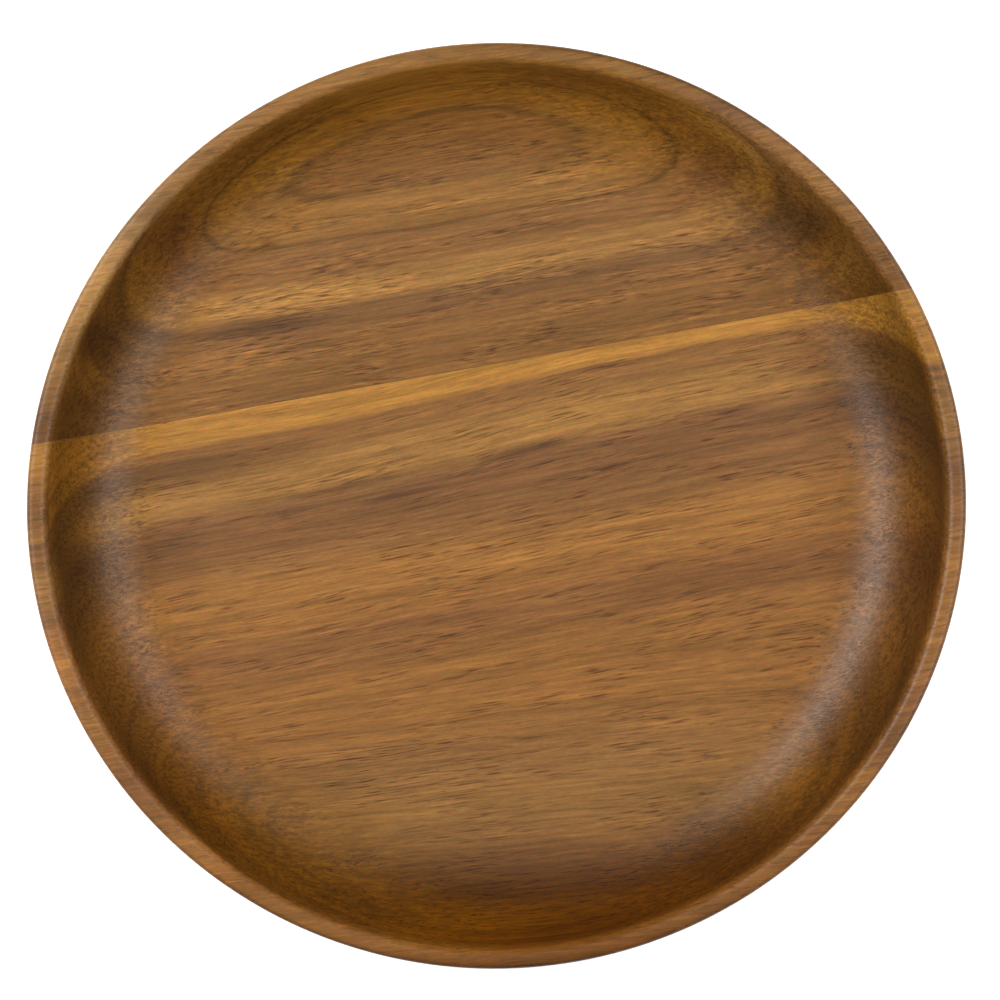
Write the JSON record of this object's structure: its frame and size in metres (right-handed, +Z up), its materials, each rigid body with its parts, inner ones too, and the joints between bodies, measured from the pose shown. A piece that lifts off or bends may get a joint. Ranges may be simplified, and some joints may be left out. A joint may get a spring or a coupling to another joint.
{
  "type": "wooden serving platter",
  "caption": "Round shallow serving platter turned from edge-glued boards, with a flat floor, a coved wall, a narrow soft-edged rim and a low turned foot.",
  "frame": {"origin": "centre of the foot, on the surface the platter stands on", "axes": "+Z up out of the dish; +X along the grain and the glue line; +Y across the grain, towards the narrower board"},
  "size_m": [0.305, 0.3004, 0.038],
  "materials": {
    "narrow_board_wood": "oiled, satin",
    "wide_board_wood": "oiled, satin",
    "cured_glue": "sanded flush and oiled with the wood"
  },
  "bodies": {
    "root": {"narrow_board": "narrow_board_wood", "wide_board": "wide_board_wood", "glue_line": "cured_glue"}
  },
  "joints": []
}
